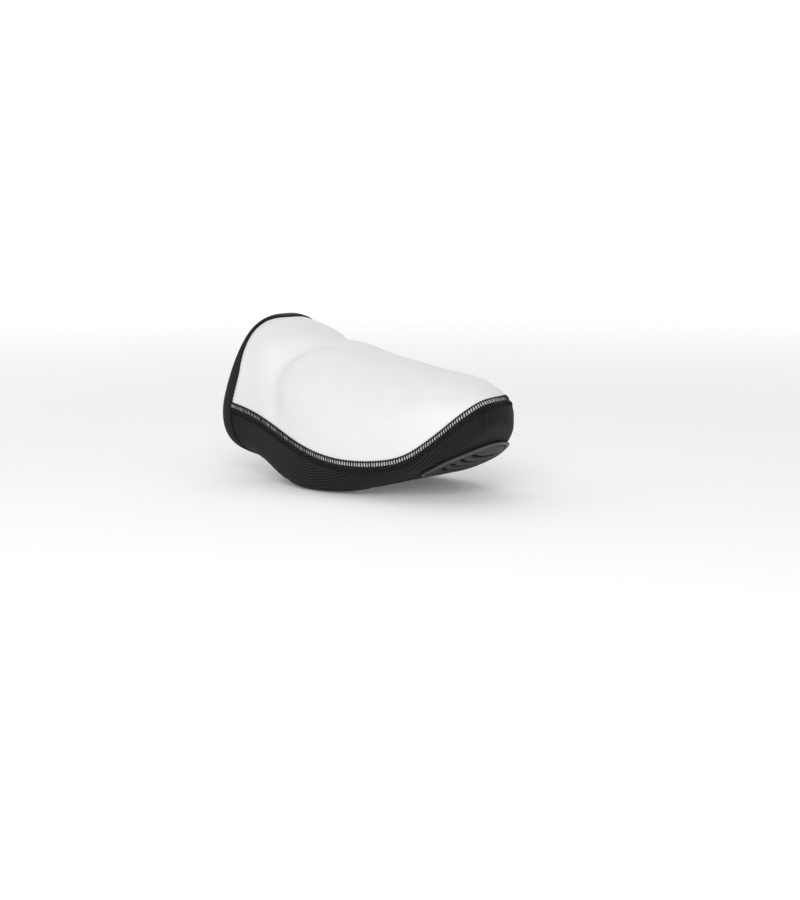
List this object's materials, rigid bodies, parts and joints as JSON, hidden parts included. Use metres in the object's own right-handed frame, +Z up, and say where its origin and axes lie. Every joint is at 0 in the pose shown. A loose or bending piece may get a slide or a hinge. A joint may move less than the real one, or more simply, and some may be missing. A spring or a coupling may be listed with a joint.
{
  "type": "cycling toe cover",
  "caption": "Stretch toe cover worn over the front of a road cycling shoe: coated upper, ribbed fabric sole open for the cleat, elastic rear edge and rubber toe pad.",
  "frame": {"origin": "middle of the plan bounding box, on the surface that the sole rests on", "axes": "+X towards the toe, +Y towards the inner (big toe) side of the foot, +Z up"},
  "size_m": [0.201, 0.104, 0.1048],
  "materials": {
    "coated_neoprene": "smooth matt white coated neoprene",
    "ribbed_fabric": "matt black ribbed hard-wearing knit",
    "seam_thread": "black and pale grey coverstitch threads",
    "binding_elastic": "smooth black folded elastic",
    "pad_rubber": "satin dark grey moulded rubber"
  },
  "bodies": {
    "root": {"upper_panel": "coated_neoprene", "sole_panel": "ribbed_fabric", "seam_tape": "seam_thread", "rear_binding": "binding_elastic", "toe_pad": "pad_rubber"}
  },
  "joints": []
}
